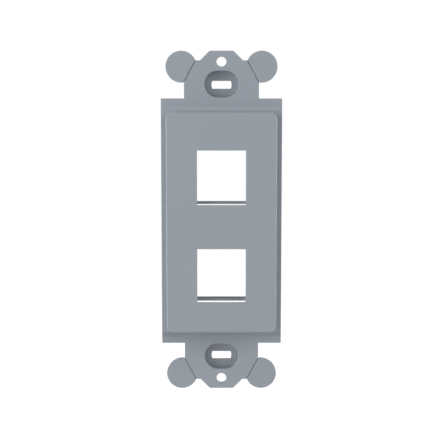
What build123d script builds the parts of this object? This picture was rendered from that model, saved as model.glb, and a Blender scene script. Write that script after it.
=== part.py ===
from build123d import *
import math
import os

# Insert frame of a rectangular wall plate, with two keystone ports, moulded in one piece.
# Millimetres. X is right, Z is up and the face points to -Y.
# Y = 0 is the back of the strap, which the box screws pull onto the wall.
# A level is a distance in front of that plane, a depth is one behind the front of the face.

# Screws
box_screw_spacing = 83.34
plate_screw_step = 6.74
plate_screw_hole = 3.0
slot_length = 6.1
slot_height = 2.4

# Cup that takes the head of each box screw
recess_length = 10.4
recess_height = 7.9
recess_depth = 2.0
recess_floor = 0.6
recess_rim_radius = 0.25
cup_wall = 1.0

# Strap: the flange behind the wall plate and a tab at each end
strap_thickness = 1.0
flange_width = 36.6
flange_length = 74.8
tab_width = 22.6
tab_end_width = 7.2
tab_end_margin = 3.19
tab_chamfer = 2.85
tab_corner_radius = 0.8

# Break-off ears, joined to the tab along a scored line
ear_diameter = 9.4
ear_overhang = 0.85
ear_drop = 1.85
score_width = 0.6
score_depth = 0.35

# Plinth with sloped ends, under the face
plinth_width = 36.3
plinth_height = 1.6
plinth_foot_length = 70.2
plinth_slope_run = 1.4

# Face block, open at the back
face_width = 32.8
face_length = 65.7
face_rise = 6.3
face_corner_radius = 2.0
face_edge_radius = 0.3
face_draft = 1.0
face_thickness = 2.0
side_wall = 1.8
cavity_radius = 1.0

# Ports
window_width = 14.6
window_height = 16.2
port_spacing = 29.3
port_offset = -1.06
port_depth = 9.6
port_lip = 1.6
port_wall = 1.4
side_clearance = 0.2
sill_land = 1.4

# Bar at the foot of each port, which a jack hooks over
hook_clearance = 2.0
bar_gap = 0.9
bar_depth = 3.3
bar_thickness = 0.72
bar_lift = 0.27
bar_nose = 0.25

# Ledge at the head of each port, which the jack's latch snaps behind
latch_clearance = 3.0
latch_front_depth = 6.6
latch_drop = 2.7
latch_rear_drop = 1.1
latch_land = 0.8

# Stiffening ribs on the back, and the marks that the ejector pins leave
rib_thickness = 1.3
rib_setback = 0.2
tab_rib_thickness = 1.0
tab_rib_height = 1.2
pin_mark_diameter = 3.0
pin_mark_depth = 0.1
pin_mark_inset = 3.0

# How far a wall runs into the one it joins, and a cut beyond what it cuts
overlap = 0.5

plate_screw_spacing = box_screw_spacing + 2 * plate_screw_step
half_length = plate_screw_spacing / 2 + tab_end_margin
flange_half = flange_length / 2
tab_half = tab_width / 2
ear_radius = ear_diameter / 2
notch_z = half_length - tab_chamfer
ear_x = tab_half + ear_overhang
ear_z = notch_z - ear_drop
score_low_z = ear_z - math.sqrt(ear_radius**2 - ear_overhang**2)
score_high_x = ear_x - math.sqrt(ear_radius**2 - ear_drop**2)
cup_length = recess_length + 2 * cup_wall
cup_height = recess_height + 2 * cup_wall
recess_level = strap_thickness - recess_depth
cup_level = recess_level - recess_floor

front_level = strap_thickness + face_rise
plinth_level = strap_thickness + plinth_height
plinth_top_half = plinth_foot_length / 2 - plinth_slope_run
rear_level = front_level - port_depth
cavity_width = face_width - 2 * side_wall
cavity_length = face_length - 2 * side_wall
cavity_level = front_level - face_thickness
base_cavity_level = plinth_level - side_wall
base_cavity_width = plinth_width - 2 * side_wall
base_cavity_length = 2 * plinth_top_half - 2 * side_wall
pocket_width = window_width + 2 * side_clearance
pocket_height = window_height + hook_clearance + latch_clearance
pocket_shift = (latch_clearance - hook_clearance) / 2
port_centres = (port_offset + port_spacing / 2, port_offset - port_spacing / 2)
lip_level = front_level - port_lip
bar_level = lip_level - bar_gap
latch_level = front_level - latch_front_depth


def facing(level):
    return Plane.XZ.offset(level)


def side_profile(corners):
    return Polygon(*[(-level, z) for level, z in corners], align=None)


with BuildPart() as insert_frame:
    # Flange and the two tabs with their ears
    with BuildSketch(facing(0)):
        Rectangle(flange_width, flange_length)
        with BuildSketch(mode=Mode.PRIVATE) as tab:
            Polygon(
                (-tab_half, plinth_top_half),
                (tab_half, plinth_top_half),
                (tab_half, score_low_z),
                (score_high_x, notch_z),
                (tab_end_width / 2 + tab_chamfer, notch_z),
                (tab_end_width / 2, half_length),
                (-tab_end_width / 2, half_length),
                (-tab_end_width / 2 - tab_chamfer, notch_z),
                (-score_high_x, notch_z),
                (-tab_half, score_low_z),
                align=None,
            )
            fillet(tab.vertices().group_by(Axis.Y)[-1], tab_corner_radius)
            with Locations((ear_x, ear_z), (-ear_x, ear_z)):
                Circle(ear_radius)
        add(tab.sketch)
        mirror(tab.sketch, about=Plane.XZ)
    extrude(amount=strap_thickness)

    # Plinth, sloped at its two ends
    with BuildSketch(Plane.YZ):
        side_profile(
            [
                (strap_thickness - overlap, plinth_foot_length / 2),
                (strap_thickness, plinth_foot_length / 2),
                (plinth_level, plinth_top_half),
                (plinth_level, -plinth_top_half),
                (strap_thickness, -plinth_foot_length / 2),
                (strap_thickness - overlap, -plinth_foot_length / 2),
            ]
        )
    extrude(amount=plinth_width / 2, both=True)

    # Face block with draft on its walls and a soft front edge
    face_height = front_level - plinth_level
    draft_growth = 2 * face_height * math.tan(math.radians(face_draft))
    with BuildSketch(facing(plinth_level)):
        RectangleRounded(face_width + draft_growth, face_length + draft_growth, face_corner_radius)
    extrude(amount=face_height, taper=face_draft)
    fillet(insert_frame.faces().sort_by(Axis.Y)[0].edges(), face_edge_radius)

    # Hollow back, wider behind the plinth, so that every wall has about the same thickness
    with BuildSketch(facing(0)):
        RectangleRounded(base_cavity_width, base_cavity_length, cavity_radius)
    extrude(amount=base_cavity_level, mode=Mode.SUBTRACT)
    with BuildSketch(facing(0)):
        RectangleRounded(cavity_width, cavity_length, cavity_radius)
    extrude(amount=cavity_level, mode=Mode.SUBTRACT)

    # Ribs from the ports to the walls, and between the ports
    with BuildSketch(facing(rib_setback)):
        with Locations(*[(0, centre) for centre in port_centres]):
            Rectangle(base_cavity_width + 2 * overlap, rib_thickness)
        Rectangle(rib_thickness, base_cavity_length + 2 * overlap)
    extrude(amount=base_cavity_level + overlap)
    with BuildSketch(facing(rib_setback)):
        with Locations(*[(0, centre) for centre in port_centres]):
            Rectangle(cavity_width + 2 * overlap, rib_thickness)
        Rectangle(rib_thickness, cavity_length + 2 * overlap)
    extrude(amount=cavity_level + overlap - rib_setback)

    # Port housings
    with BuildSketch(facing(rear_level)):
        with Locations(*[(0, centre + pocket_shift) for centre in port_centres]):
            Rectangle(pocket_width + 2 * port_wall, pocket_height + 2 * port_wall)
    extrude(amount=cavity_level + overlap - rear_level)
    with BuildSketch(facing(rear_level)):
        with Locations(*[(0, centre + pocket_shift) for centre in port_centres]):
            Rectangle(pocket_width, pocket_height)
    extrude(amount=lip_level - rear_level, mode=Mode.SUBTRACT)
    with BuildSketch(facing(rear_level)):
        with Locations(*[(0, centre) for centre in port_centres]):
            Rectangle(window_width, window_height)
    extrude(amount=port_depth, mode=Mode.SUBTRACT)

    for centre in port_centres:
        sill = centre - window_height / 2
        ceiling = centre + window_height / 2 + latch_clearance

        # The sill falls away behind its land, so that a jack can tilt in
        sill_run = port_lip - sill_land
        with BuildSketch(Plane.YZ):
            side_profile(
                [
                    (front_level - sill_land, sill + overlap),
                    (front_level - sill_land, sill),
                    (lip_level, sill - sill_run),
                    (lip_level - overlap, sill - sill_run),
                    (lip_level - overlap, sill + overlap),
                ]
            )
        extrude(amount=window_width / 2, both=True, mode=Mode.SUBTRACT)

        # Bar and latch ledge, from wall to wall
        bar_foot = sill + bar_lift
        bar_top = bar_foot + bar_thickness
        with BuildSketch(Plane.YZ):
            side_profile(
                [
                    (bar_level - bar_depth, bar_foot),
                    (bar_level, bar_foot),
                    (bar_level, bar_top - bar_nose),
                    (bar_level - bar_nose, bar_top),
                    (bar_level - bar_depth, bar_top),
                ]
            )
            side_profile(
                [
                    (rear_level, ceiling + overlap),
                    (latch_level, ceiling + overlap),
                    (latch_level, ceiling - latch_drop),
                    (latch_level - latch_land, ceiling - latch_drop),
                    (rear_level, ceiling - latch_rear_drop),
                ]
            )
        extrude(amount=pocket_width / 2 + overlap, both=True)

    for end in (1, -1):
        slot_z = end * box_screw_spacing / 2
        screw_z = end * plate_screw_spacing / 2

        # Cup behind the strap for the screw head, with a rail on each side that stiffens the tab
        rail_x = cup_length / 2 - tab_rib_thickness
        rail_length = (box_screw_spacing - base_cavity_length) / 2
        rail_z = end * (box_screw_spacing - rail_length) / 2
        with BuildSketch(facing(cup_level)):
            with Locations((0, slot_z)):
                SlotOverall(cup_length, cup_height)
        extrude(amount=strap_thickness - cup_level)
        with BuildSketch(facing(-tab_rib_height)):
            with Locations((rail_x, rail_z), (-rail_x, rail_z)):
                Rectangle(tab_rib_thickness, rail_length)
        extrude(amount=tab_rib_height + strap_thickness)
        with BuildSketch(facing(recess_level)):
            with Locations((0, slot_z)):
                SlotOverall(recess_length, recess_height)
        extrude(amount=recess_depth, mode=Mode.SUBTRACT)
        fillet(insert_frame.edges(Select.LAST).group_by(Axis.Y)[0], recess_rim_radius)

        # Slot and hole
        with BuildSketch(facing(cup_level)):
            with Locations((0, slot_z)):
                Circle(slot_length / 2)
                Rectangle(slot_length + overlap, slot_height, mode=Mode.INTERSECT)
        extrude(amount=recess_floor, mode=Mode.SUBTRACT)
        with BuildSketch(facing(0)):
            with Locations((0, screw_z)):
                Circle(plate_screw_hole / 2)
        extrude(amount=strap_thickness, mode=Mode.SUBTRACT)

        # Ejector pin marks on the back of the flange
        mark_x = flange_width / 2 - pin_mark_inset
        mark_z = end * (flange_half - pin_mark_inset)
        with BuildSketch(facing(0)):
            with Locations((mark_x, mark_z), (-mark_x, mark_z)):
                Circle(pin_mark_diameter / 2)
        extrude(amount=pin_mark_depth, mode=Mode.SUBTRACT)

    # Scored lines across the root of each ear, on the front and on the back
    for end in (1, -1):
        for side in (1, -1):
            low = Vector(side * tab_half, 0, end * score_low_z)
            high = Vector(side * score_high_x, 0, end * notch_z)
            along = (high - low).normalized()
            across = Vector(along.Z, 0, -along.X)
            middle = (low + high) * 0.5
            for level, inward in ((strap_thickness, 1), (0, -1)):
                origin = Vector(middle.X, -level, middle.Z)
                with BuildSketch(Plane(origin=origin, x_dir=across, z_dir=along)):
                    Polygon(
                        (-score_width / 2, -overlap * inward),
                        (score_width / 2, -overlap * inward),
                        (score_width / 2, 0),
                        (0, score_depth * inward),
                        (-score_width / 2, 0),
                        align=None,
                    )
                extrude(amount=(high - low).length / 2 + overlap, both=True, mode=Mode.SUBTRACT)

insert_frame.part.label = "insert_frame"

os.makedirs("parts", exist_ok=True)
export_step(insert_frame.part, "parts/insert_frame.step")
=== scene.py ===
import bpy
import math
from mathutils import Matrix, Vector

# Studio view of the moulded insert frame. Lengths are in metres and colours are linear.
# The frame is held up by its screws, so it hangs upright above the floor.

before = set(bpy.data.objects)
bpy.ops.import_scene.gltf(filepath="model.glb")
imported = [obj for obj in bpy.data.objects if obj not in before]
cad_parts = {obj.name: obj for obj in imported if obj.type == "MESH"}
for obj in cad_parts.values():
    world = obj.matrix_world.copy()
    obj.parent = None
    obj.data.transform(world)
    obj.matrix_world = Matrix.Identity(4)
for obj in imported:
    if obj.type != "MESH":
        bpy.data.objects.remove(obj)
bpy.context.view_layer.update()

# Camera: on the middle line, looking slightly down at a point in the plane of the strap's front
STRAP_FRONT = -0.001
VIEW_HEIGHT = 0.00019
VIEW_DISTANCE = 0.240
VIEW_ELEVATION = math.radians(4.5)
LENS_MM = 63.92
SENSOR_MM = 36.0
NEAREST_SEEN = 0.01

# Plastic: its colour, and its roughness in the valleys and on the peaks of the grain
PLASTIC_COLOUR = (0.293, 0.326, 0.362)
VALLEY_ROUGHNESS = 0.53
PEAK_ROUGHNESS = 0.63

# Flow clouds, from the way the plastic filled the mould: about 10 mm wide, a little darker and lighter
CLOUDS_PER_METRE = 90.0
CLOUD_DETAIL = 3.0
CLOUD_SPREAD = 0.02

# Grain of the mould: about 0.2 mm wide, and shallow. Valley and peak are levels of its noise.
GRAINS_PER_METRE = 5200.0
GRAIN_DETAIL = 2.0
GRAIN_VALLEY = 0.3
GRAIN_PEAK = 0.7
GRAIN_HEIGHT = 0.00002
GRAIN_STRENGTH = 0.25

# Soft boxes, aimed at the middle of the frame. Most stand far to the sides, and two behind it.
# Each has a name, an azimuth and an elevation in degrees, and a power in watts.
FRAME_MIDDLE = (0.0, 0.0, 0.0)
LAMP_DISTANCE = 1.2
LAMP_SIZE = 0.7
SOFT_BOXES = (
    ("left_low_light", -70, 0, 10.0),
    ("left_high_light", -72, 30, 6.8),
    ("left_front_light", -30, 0, 2.2),
    ("right_high_light", 75, 20, 11.0),
    ("right_low_light", 85, 10, 3.6),
    ("rear_left_light", -140, -5, 9.6),
    ("rear_right_light", 140, -5, 9.6),
)

# Sky: a faint even light, and plain white where the camera sees it
WHITE = (1.0, 1.0, 1.0)
SKY_LEVEL = 0.18
BACKDROP_LEVEL = 1.0

# Floor: its own glow, seen by the camera alone, brings it up to white
FLOOR_HEIGHT = -0.16
FLOOR_SIZE = 1.6
FLOOR_GREY = 0.6
FLOOR_GLOW = 0.57


def shade(colour, level=1.0):
    """The colour at this level, with the full alpha that a colour socket takes."""
    return tuple(level * part for part in colour) + (1.0,)


def cleared_tree(owner):
    """Node tree of a new material or world, with nothing in it."""
    owner.use_nodes = True
    owner.node_tree.nodes.clear()
    return owner.node_tree


def node(tree, kind, **values):
    """New node. Each value goes to the input of that name, or else to the node's own setting."""
    made = tree.nodes.new(kind)
    for name, value in values.items():
        if name in made.inputs:
            made.inputs[name].default_value = value
        else:
            setattr(made, name, value)
    return made


def new_object(name, data):
    """New object in the scene."""
    made = bpy.data.objects.new(name, data)
    bpy.context.scene.collection.objects.link(made)
    return made


def aim(thing, target):
    """Turns a lamp or camera towards the target."""
    direction = Vector(target) - thing.location
    thing.rotation_euler = direction.to_track_quat("-Z", "Y").to_euler()


def moulded_plastic():
    """Satin moulded plastic with the fine grain of a spark-eroded mould."""
    material = bpy.data.materials.new("moulded_plastic")
    tree = cleared_tree(material)
    output = node(tree, "ShaderNodeOutputMaterial")
    shader = node(tree, "ShaderNodeBsdfPrincipled")
    place = node(tree, "ShaderNodeTexCoord")
    cloud = node(tree, "ShaderNodeTexNoise", Scale=CLOUDS_PER_METRE, Detail=CLOUD_DETAIL)
    tint = node(tree, "ShaderNodeMix", data_type="RGBA")
    tint.inputs["A"].default_value = shade(PLASTIC_COLOUR, 1.0 - CLOUD_SPREAD)
    tint.inputs["B"].default_value = shade(PLASTIC_COLOUR, 1.0 + CLOUD_SPREAD)
    grain = node(tree, "ShaderNodeTexNoise", Scale=GRAINS_PER_METRE, Detail=GRAIN_DETAIL)
    bump = node(tree, "ShaderNodeBump", Strength=GRAIN_STRENGTH, Distance=GRAIN_HEIGHT)
    gloss = node(tree, "ShaderNodeMapRange")
    gloss.inputs["From Min"].default_value = GRAIN_VALLEY
    gloss.inputs["From Max"].default_value = GRAIN_PEAK
    gloss.inputs["To Min"].default_value = VALLEY_ROUGHNESS
    gloss.inputs["To Max"].default_value = PEAK_ROUGHNESS
    link = tree.links.new
    link(place.outputs["Object"], cloud.inputs["Vector"])
    link(place.outputs["Object"], grain.inputs["Vector"])
    link(cloud.outputs["Fac"], tint.inputs["Factor"])
    link(tint.outputs["Result"], shader.inputs["Base Color"])
    link(grain.outputs["Fac"], gloss.inputs["Value"])
    link(gloss.outputs["Result"], shader.inputs["Roughness"])
    link(grain.outputs["Fac"], bump.inputs["Height"])
    link(bump.outputs["Normal"], shader.inputs["Normal"])
    link(shader.outputs["BSDF"], output.inputs["Surface"])
    return material


def floor_material():
    """Plain pale floor, white to the camera, that keeps the soft shadow of the frame."""
    material = bpy.data.materials.new("pale_floor")
    tree = cleared_tree(material)
    output = node(tree, "ShaderNodeOutputMaterial")
    paint = node(tree, "ShaderNodeBsdfDiffuse", Color=shade(WHITE, FLOOR_GREY))
    glow = node(tree, "ShaderNodeEmission")
    path = node(tree, "ShaderNodeLightPath")
    level = node(tree, "ShaderNodeMath", operation="MULTIPLY")
    level.inputs[1].default_value = FLOOR_GLOW
    total = node(tree, "ShaderNodeAddShader")
    link = tree.links.new
    link(path.outputs["Is Camera Ray"], level.inputs[0])
    link(level.outputs["Value"], glow.inputs["Strength"])
    link(paint.outputs["BSDF"], total.inputs[0])
    link(glow.outputs["Emission"], total.inputs[1])
    link(total.outputs["Shader"], output.inputs["Surface"])
    return material


def white_sky():
    """Faint even light from all round. The camera sees plain white in its place."""
    world = bpy.data.worlds.new("studio_sky")
    bpy.context.scene.world = world
    tree = cleared_tree(world)
    output = node(tree, "ShaderNodeOutputWorld")
    sky = node(tree, "ShaderNodeBackground", Color=shade(WHITE), Strength=SKY_LEVEL)
    backdrop = node(tree, "ShaderNodeBackground", Color=shade(WHITE), Strength=BACKDROP_LEVEL)
    path = node(tree, "ShaderNodeLightPath")
    choice = node(tree, "ShaderNodeMixShader")
    link = tree.links.new
    link(path.outputs["Is Camera Ray"], choice.inputs["Fac"])
    link(sky.outputs["Background"], choice.inputs[1])
    link(backdrop.outputs["Background"], choice.inputs[2])
    link(choice.outputs["Shader"], output.inputs["Surface"])


def soft_box(name, azimuth, elevation, power):
    """Round soft box aimed at the middle of the frame: azimuth 0 is the front, positive to the right."""
    lamp = bpy.data.lights.new(name, "AREA")
    lamp.shape = "DISK"
    lamp.size = LAMP_SIZE
    lamp.energy = power
    box = new_object(name, lamp)
    turn = math.radians(azimuth)
    rise = math.radians(elevation)
    across = LAMP_DISTANCE * math.cos(rise)
    box.location = (across * math.sin(turn), -across * math.cos(turn), LAMP_DISTANCE * math.sin(rise))
    box.visible_camera = False
    aim(box, FRAME_MIDDLE)


def pale_floor():
    """Square floor below the frame, which is part of the studio and not of the object."""
    half = FLOOR_SIZE / 2
    mesh = bpy.data.meshes.new("floor")
    square = ((-half, -half), (half, -half), (half, half), (-half, half))
    mesh.from_pydata([(x, y, FLOOR_HEIGHT) for x, y in square], [], [(0, 1, 2, 3)])
    mesh.materials.append(floor_material())
    floor = new_object("floor", mesh)


def studio_camera():
    """Camera at the angle and distance of the photograph."""
    data = bpy.data.cameras.new("studio_camera")
    data.sensor_width = SENSOR_MM
    data.lens = LENS_MM
    data.clip_start = NEAREST_SEEN
    camera = new_object("studio_camera", data)
    target = Vector((0.0, STRAP_FRONT, VIEW_HEIGHT))
    back = Vector((0.0, -math.cos(VIEW_ELEVATION), math.sin(VIEW_ELEVATION)))
    camera.location = target + VIEW_DISTANCE * back
    aim(camera, target)
    bpy.context.scene.camera = camera


plastic = moulded_plastic()
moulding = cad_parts["insert_frame"]
for slot in moulding.material_slots:
    slot.material = plastic

white_sky()
for name, azimuth, elevation, power in SOFT_BOXES:
    soft_box(name, azimuth, elevation, power)
pale_floor()
studio_camera()
bpy.context.scene.view_settings.view_transform = "Standard"
